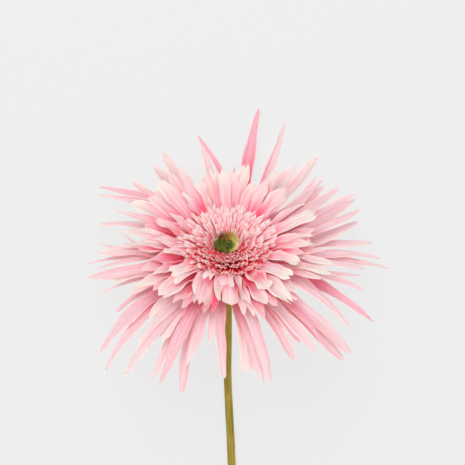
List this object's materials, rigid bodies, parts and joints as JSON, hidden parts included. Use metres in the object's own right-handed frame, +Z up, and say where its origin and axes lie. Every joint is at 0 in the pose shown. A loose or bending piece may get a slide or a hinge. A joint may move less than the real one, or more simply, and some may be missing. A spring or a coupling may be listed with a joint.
{
  "type": "cut gerbera",
  "caption": "Cut spider gerbera lying down: a leafless stalk carries a head of narrow pointed rays over broader inner rays, with frilled florets round a green eye and bracts behind",
  "frame": {"origin": "on the table under the middle of the flower's bounding box", "axes": "+Z is up from the table, +Y runs along the stalk from the cut end to the head, +X is to the right seen from above with the head at the top"},
  "size_m": [0.1246, 0.4501, 0.0672],
  "materials": {
    "scape": "fresh olive-green stalk, softly ribbed, with fine short hairs and a satin surface",
    "bract": "leafy green bract with a downy matte surface",
    "outer_ray": "thin matte petal, saturated pink at its base and paler pink to its tip, lightly ribbed along",
    "inner_ray": "thin matte petal, pale pink to cream, pinker at its base",
    "trans_floret": "short frilled petal, coral pink with a pale edge",
    "disc_eye": "tight green buds, yellower at one side"
  },
  "bodies": {
    "root": {"bract_whorl_inner": "bract", "bract_whorl_outer": "bract", "disc_eye": "disc_eye", "inner_ray_whorl_1": "inner_ray", "inner_ray_whorl_2": "inner_ray", "inner_ray_whorl_3": "inner_ray", "outer_ray_01": "outer_ray", "outer_ray_02": "outer_ray", "outer_ray_03": "outer_ray", "outer_ray_04": "outer_ray", "outer_ray_05": "outer_ray", "outer_ray_06": "outer_ray", "outer_ray_07": "outer_ray", "outer_ray_08": "outer_ray", "outer_ray_09": "outer_ray", "outer_ray_10": "outer_ray", "outer_ray_11": "outer_ray", "outer_ray_12": "outer_ray", "outer_ray_13": "outer_ray", "outer_ray_14": "outer_ray", "outer_ray_15": "outer_ray", "outer_ray_16": "outer_ray", "outer_ray_17": "outer_ray", "outer_ray_18": "outer_ray", "outer_ray_19": "outer_ray", "outer_ray_20": "outer_ray", "outer_ray_21": "outer_ray", "outer_ray_22": "outer_ray", "outer_ray_23": "outer_ray", "outer_ray_24": "outer_ray", "outer_ray_25": "outer_ray", "outer_ray_26": "outer_ray", "outer_ray_27": "outer_ray", "outer_ray_28": "outer_ray", "outer_ray_29": "outer_ray", "outer_ray_30": "outer_ray", "outer_ray_31": "outer_ray", "outer_ray_32": "outer_ray", "outer_ray_33": "outer_ray", "outer_ray_34": "outer_ray", "outer_ray_35": "outer_ray", "outer_ray_36": "outer_ray", "outer_ray_37": "outer_ray", "outer_ray_38": "outer_ray", "outer_ray_39": "outer_ray", "outer_ray_40": "outer_ray", "outer_ray_41": "outer_ray", "outer_ray_42": "outer_ray", "outer_ray_43": "outer_ray", "outer_ray_44": "outer_ray", "scape": "scape", "trans_floret_whorl_1": "trans_floret", "trans_floret_whorl_2": "trans_floret", "trans_floret_whorl_3": "trans_floret", "trans_floret_whorl_4": "trans_floret", "trans_floret_whorl_5": "trans_floret"}
  },
  "joints": []
}
